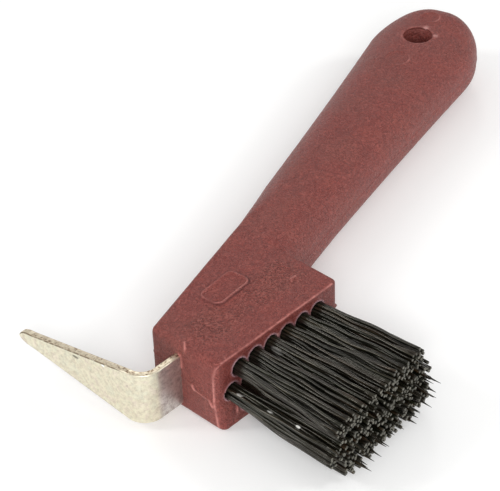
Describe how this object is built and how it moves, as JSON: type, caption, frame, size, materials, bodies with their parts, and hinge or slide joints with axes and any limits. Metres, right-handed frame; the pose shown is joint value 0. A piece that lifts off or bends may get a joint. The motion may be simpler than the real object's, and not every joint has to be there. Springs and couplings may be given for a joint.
{
  "type": "hoof pick with brush",
  "caption": "Hoof pick: a moulded plastic handle with a hanging hole, a bent steel pick blade set in its head, and a stiff staple-set brush beside it.",
  "frame": {"origin": "middle of the whole tool's box, on the plane that the tool lies on (the underside of the head)", "axes": "+X towards the free end of the handle, -Y the way the bristles point, +Y the way the blade's tip points, +Z through the tool's thickness, upwards"},
  "size_m": [0.1752, 0.1038, 0.0202],
  "materials": {
    "moulded_plastic": "moulded maroon plastic with a fine leather-like grain",
    "blade_steel": "dull plated strip steel, lightly mottled",
    "bristle": "black crimped plastic filament with a soft sheen",
    "staple_wire": "plain galvanised flat wire"
  },
  "bodies": {
    "root": {"handle_body": "moulded_plastic", "pick_blade": "blade_steel", "bristle_tuft_top_1": "bristle", "bristle_tuft_top_2": "bristle", "bristle_tuft_top_3": "bristle", "bristle_tuft_top_4": "bristle", "bristle_tuft_top_5": "bristle", "bristle_tuft_top_6": "bristle", "bristle_tuft_middle_1": "bristle", "bristle_tuft_middle_2": "bristle", "bristle_tuft_middle_3": "bristle", "bristle_tuft_middle_4": "bristle", "bristle_tuft_middle_5": "bristle", "bristle_tuft_middle_6": "bristle", "bristle_tuft_middle_7": "bristle", "bristle_tuft_bottom_1": "bristle", "bristle_tuft_bottom_2": "bristle", "bristle_tuft_bottom_3": "bristle", "bristle_tuft_bottom_4": "bristle", "bristle_tuft_bottom_5": "bristle", "bristle_tuft_bottom_6": "bristle", "anchor_staple_top_1": "staple_wire", "anchor_staple_top_2": "staple_wire", "anchor_staple_top_3": "staple_wire", "anchor_staple_top_4": "staple_wire", "anchor_staple_top_5": "staple_wire", "anchor_staple_top_6": "staple_wire", "anchor_staple_middle_1": "staple_wire", "anchor_staple_middle_2": "staple_wire", "anchor_staple_middle_3": "staple_wire", "anchor_staple_middle_4": "staple_wire", "anchor_staple_middle_5": "staple_wire", "anchor_staple_middle_6": "staple_wire", "anchor_staple_middle_7": "staple_wire", "anchor_staple_bottom_1": "staple_wire", "anchor_staple_bottom_2": "staple_wire", "anchor_staple_bottom_3": "staple_wire", "anchor_staple_bottom_4": "staple_wire", "anchor_staple_bottom_5": "staple_wire", "anchor_staple_bottom_6": "staple_wire"}
  },
  "joints": []
}
